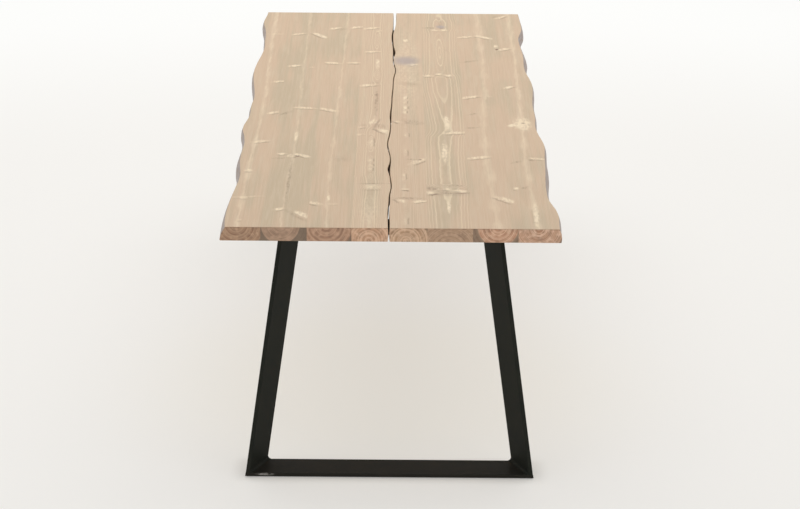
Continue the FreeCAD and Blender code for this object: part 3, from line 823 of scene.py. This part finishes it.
def edge_rows(name, side, stations):
    """Levels of a board's side, and where its edge runs at each, eased at top and bottom."""
    low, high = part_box(name)
    middle = (low.z + high.z) / 2
    levels = (low.z, low.z + EDGE_EASE, middle, high.z - EDGE_EASE, high.z)
    under, lower, belly, upper, over = (
        packed_edge(name, side, level, stations) for level in levels
    )
    rows = [
        (low.z, under),
        (low.z + ROUND_SHARE * EDGE_EASE, lower + ROUND_SHARE * (under - lower)),
    ]
    bulge = belly - (lower + upper) / 2
    if SLIT_SIDES.get(name) == side:
        bulge = bulge + side * SLIT_SWELL + np.interp(stations, *zip(*SLIT_BOW))
    for step in range(SIDE_ROWS + 1):
        t = step / SIDE_ROWS
        level = levels[1] + t * (levels[3] - levels[1])
        # Nothing at both ends and 1 halfway
        arch = 4 * t * (1 - t)
        edge = lower + t * (upper - lower) + arch * bulge
        rows.append((level, np.clip(edge, low.x, high.x)))
    rows.append((high.z - ROUND_SHARE * EDGE_EASE, upper + ROUND_SHARE * (over - upper)))
    rows.append((high.z, over))
    return rows


def furrow(rows, side, stations, seed):
    """Cuts fibres and lumps into a natural edge, always inwards."""
    for level, edge in rows:
        for index, y in enumerate(stations):
            fibre = noise.noise((y * FIBRE_WAVES[0], level * FIBRE_WAVES[1], seed))
            lump = noise.noise((y * LUMP_WAVES[0], level * LUMP_WAVES[1], seed + LUMP_SEED_STEP))
            depth = FIBRE_DEPTH * (1 + fibre) + LUMP_DEPTH * (1 + lump)
            edge[index] -= side * depth / 2


def board_stations():
    """Places along the board, and how far its ends are drawn in at each."""
    count = round((board_high.y - board_low.y - 2 * END_EASE) / STATION_STEP)
    inner = np.linspace(board_low.y + END_EASE, board_high.y - END_EASE, count + 1)
    near_round = board_low.y + ROUND_SHARE * END_EASE
    far_round = board_high.y - ROUND_SHARE * END_EASE
    places = np.concatenate([[board_low.y, near_round], inner, [far_round, board_high.y]])
    drawn = np.zeros(len(places))
    drawn[[0, -1]] = END_EASE
    drawn[[1, -2]] = END_EASE * ROUND_SHARE
    return places, drawn


def board_sections(name, seed):
    """Grid over the section of a board at every station.

    X goes by station, column and row, Y by station, and Z by station and row.
    """
    stations, drawn = board_stations()
    left_rows = edge_rows(name, -1, stations)
    right_rows = edge_rows(name, 1, stations)
    natural = NATURAL_SIDES.get(name)
    if natural:
        furrow(left_rows if natural < 0 else right_rows, natural, stations, seed)

    low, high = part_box(name)
    middle = (low.z + high.z) / 2
    half = (high.z - low.z) / 2
    columns = round((high.x - low.x) / COLUMN_STEP)
    left = np.array([edge for _, edge in left_rows]).T
    right = np.array([edge for _, edge in right_rows]).T
    levels = np.array([level for level, _ in left_rows])
    share = np.linspace(0, 1, columns + 1)
    x = left[:, None, :] + (right - left)[:, None, :] * share[None, :, None]
    z = middle + (levels[None, :] - middle) * (half - drawn[:, None]) / half
    return x, stations, z


def section_ring(last_column, last_row):
    """Column and row of each point round a section, from the lower left along the underside."""
    ring = [(column, 0) for column in range(last_column + 1)]
    ring += [(last_column, row) for row in range(1, last_row)]
    ring += [(column, last_row) for column in range(last_column, -1, -1)]
    ring += [(0, row) for row in range(last_row - 1, 0, -1)]
    return ring


def skin_points(x, y, z, ring, seed):
    """Points round every section, with the faint relief of the top."""
    columns, rows = np.array(ring).T
    points = np.empty((len(y), len(ring), 3))
    points[:, :, 0] = x[:, columns, rows]
    points[:, :, 1] = y[:, None]
    points[:, :, 2] = z[:, rows]
    for index in np.flatnonzero(rows == rows.max()):
        for point in points[:, index]:
            wave = noise.noise((point[0] * TOP_WAVES[0], point[1] * TOP_WAVES[1], seed))
            point[2] -= TOP_RELIEF * (1 + wave) / 2
    return points.reshape(-1, 3).tolist()


def skin_faces(stations, size):
    """Faces from each ring of points to the next."""
    faces = []
    for station in range(stations - 1):
        near, far = station * size, (station + 1) * size
        for index in range(size):
            after = (index + 1) % size
            faces.append((near + index, far + index, far + after, near + after))
    return faces


def close_end(points, faces, grid, ring, station, turned):
    """Lays a grid of faces over one end: the ring's points round it, and new ones within."""
    x, y, z = grid
    _, columns, rows = x.shape
    corner = {pair: station * len(ring) + index for index, pair in enumerate(ring)}
    for i in range(1, columns - 1):
        for j in range(1, rows - 1):
            corner[i, j] = len(points)
            points.append((x[station, i, j], y[station], z[station, j]))
    for i in range(columns - 1):
        for j in range(rows - 1):
            face = (corner[i, j], corner[i + 1, j], corner[i + 1, j + 1], corner[i, j + 1])
            faces.append(face[::-1] if turned else face)


def board_mesh(name, seed):
    """Closed mesh of one board: rings round it at each station, and a grid over each end."""
    x, y, z = board_sections(name, seed)
    ring = section_ring(x.shape[1] - 1, x.shape[2] - 1)
    points = skin_points(x, y, z, ring, seed)
    faces = skin_faces(len(y), len(ring))
    for station, turned in ((0, False), (len(y) - 1, True)):
        close_end(points, faces, (x, y, z), ring, station, turned)
    mesh = bpy.data.meshes.new(name + "_planed")
    mesh.from_pydata(points, [], faces)
    mesh.shade_smooth()
    mesh.set_sharp_from_angle(angle=math.radians(SHARP_ANGLE_DEGREES))
    return mesh


def add_object(name, data):
    """New object in the scene."""
    made = bpy.data.objects.new(name, data)
    bpy.context.scene.collection.objects.link(made)
    return made


def make_boards():
    """The eight boards of the top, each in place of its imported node."""
    mark_group = make_mark_group()
    for seed, name in enumerate(BOARDS, start=1):
        mesh = board_mesh(name, seed)
        mesh.materials.append(wood(name, seed, mark_group))
        board = add_object(name + "_grained", mesh)
        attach(board, "root")
        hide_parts(name)


def powder_coat(scraped_and_lit=False):
    """Black powder coat: fine orange peel, slightly uneven gloss, and if wanted a scrape and
    colours painted lighter as painted light.
    """
    tree, shader, material = new_material("black_powder_coat")
    place = tree.node("ShaderNodeTexCoord").outputs["Object"]
    peel = tree.noise("coat_peel", place)[0]
    cloud = tree.noise("coat_cloud", place)[0]
    # The lighter colours of the near foot bar are painted light from the floor in front of it
    colours = LIT_FOOT_COAT_COLOURS if scraped_and_lit else COAT_COLOURS
    colour = tree.mix(tree.ease(cloud, *CLOUD_RANGE), *colours)
    roughness = tree.ease(cloud, *CLOUD_RANGE, *COAT_ROUGHNESS)
    if scraped_and_lit:
        away = tree.vector("DIVIDE", tree.vector("SUBTRACT", place, SCRAPE_PLACE), SCRAPE_REACH)
        near = tree.fade(tree.length(away), *SCRAPE_FADE)
        scratches = tree.noise("coat_scratches", place)[0]
        bare = tree.sum("MULTIPLY", near, tree.ease(scratches, *SCRATCH_RANGE))
        colour = tree.mix(bare, colour, BARE_STEEL)
    finish_shader(tree, shader, colour, roughness, peel, COAT_RELIEF)
    shader.inputs["Specular IOR Level"].default_value = COAT_SPECULAR
    return material


def zinc():
    """Zinc plate on the screws: spangled, half bright."""
    tree, shader, material = new_material("zinc_plate")
    place = tree.node("ShaderNodeTexCoord").outputs["Object"]
    spangle = tree.noise("zinc_spangle", place)[0]
    grain = tree.noise("zinc_grain", place)[0]
    colour = tree.mix(tree.ease(spangle, *CLOUD_RANGE), *ZINC_COLOURS)
    roughness = tree.ease(spangle, *CLOUD_RANGE, *ZINC_ROUGHNESS)
    finish_shader(tree, shader, colour, roughness, grain, ZINC_RELIEF)
    shader.inputs["Metallic"].default_value = 1.0
    return material


def rubber():
    """Matt rubber of the floor pads, a little dusty."""
    tree, shader, material = new_material("pad_rubber")
    place = tree.node("ShaderNodeTexCoord").outputs["Object"]
    dust = tree.noise("pad_dust", place)[0]
    grain = tree.noise("pad_grain", place)[0]
    colour = tree.mix(tree.ease(dust, *DUST_RANGE), *RUBBER_COLOURS)
    roughness = tree.ease(dust, *DULL_RANGE, *RUBBER_ROUGHNESS)
    finish_shader(tree, shader, colour, roughness, grain, RUBBER_RELIEF)
    return material


def paint_packed_nodes():
    """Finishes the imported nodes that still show."""
    finishes = {"black_steel": powder_coat(), "zinc_steel": zinc(), "pad_rubber": rubber()}
    # The near foot bar gets the scrape and a coat painted lighter as painted light
    scraped_and_lit = powder_coat(scraped_and_lit=True)
    for part in frame["record"]["subparts"]:
        finish = finishes.get(part["material_slot"])
        if part["node"] == "near_foot_bar":
            finish = scraped_and_lit
        if finish:
            for slot in nodes[part["node"]].material_slots:
                slot.material = finish


def floor_glow(tree, place, away):
    """How much of the floor is glow: all far away, and less where the foot bars shade it."""
    low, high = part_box("near_foot_bar")
    middle = (0.0, -(low.y + high.y) / 2, 0.0)
    half = (high.x, (high.y - low.y) / 2, 0.0)
    # The far bar mirrors the near one
    offset = tree.vector("SUBTRACT", tree.vector("ABSOLUTE", place), middle)
    beyond = tree.vector("SUBTRACT", tree.vector("ABSOLUTE", offset), half)
    gap = tree.length(tree.vector("MAXIMUM", beyond))
    beside = tree.ease(gap, 0.0, FOOT_GLOW_REACH, FOOT_GLOW, FLOOR_GLOW)
    return tree.ease(away, *FLOOR_GLOW_RANGE, beside, 1.0)


def make_floor():
    """Pale floor, with painted warm bounce light under the table and painted shade round it that
    fades to white far from it.
    """
    mesh = bpy.data.meshes.new("floor")
    low, high = -FLOOR_HALF, FLOOR_HALF
    corners = [(low, low, 0), (high, low, 0), (high, high, 0), (low, high, 0)]
    mesh.from_pydata(corners, [], [(0, 1, 2, 3)])
    tree, shader, material = new_material("floor")
    place = tree.node("ShaderNodeTexCoord").outputs["Object"]
    away = tree.length(tree.vector("SUBTRACT", place, FLOOR_MIDDLE))
    # Painted light: the wood's warm bounce under the table, then painted shade that fades to white
    # far from it
    tone = tree.mix(tree.ease(away, *FLOOR_BOUNCE_RANGE), FLOOR_BOUNCE_TINT, FLOOR_SHADED)
    tone = tree.mix(tree.ease(away, *FLOOR_SHADE_FADE_RANGE), tone, FLOOR_WHITE)
    tree.link(tone, shader.inputs["Base Color"])
    shader.inputs["Roughness"].default_value = FLOOR_ROUGHNESS
    shader.inputs["Specular IOR Level"].default_value = 0.0
    glow = tree.node("ShaderNodeEmission", {"Color": tone, "Strength": 1.0}).outputs[0]
    camera_ray = tree.node("ShaderNodeLightPath").outputs["Is Camera Ray"]
    share = tree.sum("MULTIPLY", camera_ray, floor_glow(tree, place, away))
    shown = tree.node("ShaderNodeMixShader", {0: share, 1: shader.outputs[0], 2: glow}).outputs[0]
    tree.link(shown, material.node_tree.nodes["Material Output"].inputs[0])
    mesh.materials.append(material)
    add_object("floor", mesh)


def make_lights():
    """White surroundings and two large soft lamps."""
    world = bpy.data.worlds.new("studio")
    bpy.context.scene.world = world
    world.use_nodes = True
    tree = Tree(world.node_tree)
    rays = tree.node("ShaderNodeLightPath").outputs
    seen = tree.sum("MAXIMUM", rays["Is Camera Ray"], rays["Is Transmission Ray"])
    strength = tree.sum("MULTIPLY_ADD", seen, 1 - WORLD_LIGHT, WORLD_LIGHT)
    background = world.node_tree.nodes["Background"]
    background.inputs["Color"].default_value = (1.0, 1.0, 1.0, 1.0)
    tree.link(strength, background.inputs["Strength"])
    for lamp in LAMPS:
        add_lamp(*lamp)


def add_lamp(name, width, height, power, place, turn):
    """Soft rectangular lamp, not seen itself."""
    lamp = bpy.data.lights.new(name, "AREA")
    lamp.shape = "RECTANGLE"
    lamp.size = width
    lamp.size_y = height
    lamp.energy = power
    holder = add_object(name, lamp)
    holder.location = place
    holder.rotation_euler = (math.radians(turn), 0.0, 0.0)
    holder.visible_camera = False


def make_camera():
    """Camera at the photograph's place."""
    pitch = math.radians(CAMERA_PITCH_DEGREES)
    roll = math.radians(CAMERA_ROLL_DEGREES)
    yaw = math.radians(CAMERA_YAW_DEGREES)
    level = Vector((math.cos(yaw), -math.sin(yaw), 0.0))
    onward = Vector((math.sin(yaw), math.cos(yaw), 0.0))
    ahead = onward * math.cos(pitch) - Vector((0.0, 0.0, math.sin(pitch)))
    above = level.cross(ahead)
    right = level * math.cos(roll) + above * math.sin(roll)
    up = above * math.cos(roll) - level * math.sin(roll)
    lens = bpy.data.cameras.new("camera")
    lens.lens = CAMERA_LENS
    lens.sensor_width = CAMERA_SENSOR
    camera = add_object("camera", lens)
    turn = Matrix((right, up, -ahead)).transposed().to_4x4()
    camera.matrix_world = Matrix.Translation(CAMERA_PLACE) @ turn
    bpy.context.scene.camera = camera


make_boards()
paint_packed_nodes()
make_floor()
make_lights()
make_camera()
bpy.context.scene.view_settings.view_transform = "Standard"
bpy.context.view_layer.update()
